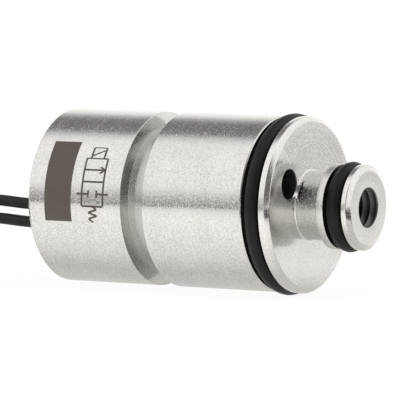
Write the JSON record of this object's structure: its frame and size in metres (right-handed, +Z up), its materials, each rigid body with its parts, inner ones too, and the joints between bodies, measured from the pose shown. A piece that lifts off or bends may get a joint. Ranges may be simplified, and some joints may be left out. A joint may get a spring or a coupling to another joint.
{
  "type": "cartridge solenoid valve",
  "caption": "Slim turned-steel cartridge solenoid valve with a grooved body, a sealing nose, O-rings and black flying leads; a sprung plunger opens the seat.",
  "frame": {"origin": "on the surface that the valve lies on, below the middle of its length, with the leads left out", "axes": "+X along the valve's axis towards its nose, +Z up; the leads leave towards -X"},
  "size_m": [0.0579, 0.0271, 0.0154],
  "materials": {
    "housing_steel": "satin fine-turned stainless steel",
    "face_steel": "bright turned stainless steel",
    "magnet_steel": "turned soft-magnetic stainless steel",
    "spring_steel": "drawn spring steel",
    "brass": "plain brass",
    "copper_winding": "enamelled copper wire",
    "rubber": "black moulded rubber, slightly greased",
    "bobbin_plastic": "natural glass-filled nylon",
    "tape": "amber coil tape",
    "cap_plastic": "black moulded plastic",
    "lead_insulation": "black lead insulation",
    "tie_plastic": "natural nylon tie",
    "tinned_wire": "tinned copper strands"
  },
  "bodies": {
    "valve": {"housing": "housing_steel", "seat_body": "face_steel", "body_o_ring": "rubber", "nose_o_ring": "rubber", "return_spring": "spring_steel", "residual_shim": "brass", "fixed_core": "magnet_steel", "guide_tube": "face_steel", "tube_gasket": "rubber", "front_pole_plate": "magnet_steel", "rear_pole_plate": "magnet_steel", "coil_bobbin": "bobbin_plastic", "coil_winding": "copper_winding", "coil_tape": "tape", "terminal_pin_1": "brass", "terminal_pin_2": "brass", "wave_washer": "spring_steel", "end_cap": "cap_plastic", "retaining_ring": "spring_steel", "lead_grommet": "rubber", "lead_1": "lead_insulation", "lead_2": "lead_insulation", "lead_coil": "lead_insulation", "lead_tie": "tie_plastic", "lead_end_1": "tinned_wire", "lead_end_2": "tinned_wire"},
    "plunger": {"plunger": "magnet_steel", "plunger_seal": "rubber"}
  },
  "joints": [
    {"name": "plunger_lift", "type": "slide", "parent": "valve", "child": "plunger", "axis": [-1, 0, 0], "range_m": [0, 0.0005], "stiffness_N_per_m": 250, "springref_m": -0.002, "deforming": ["return_spring"]}
  ]
}
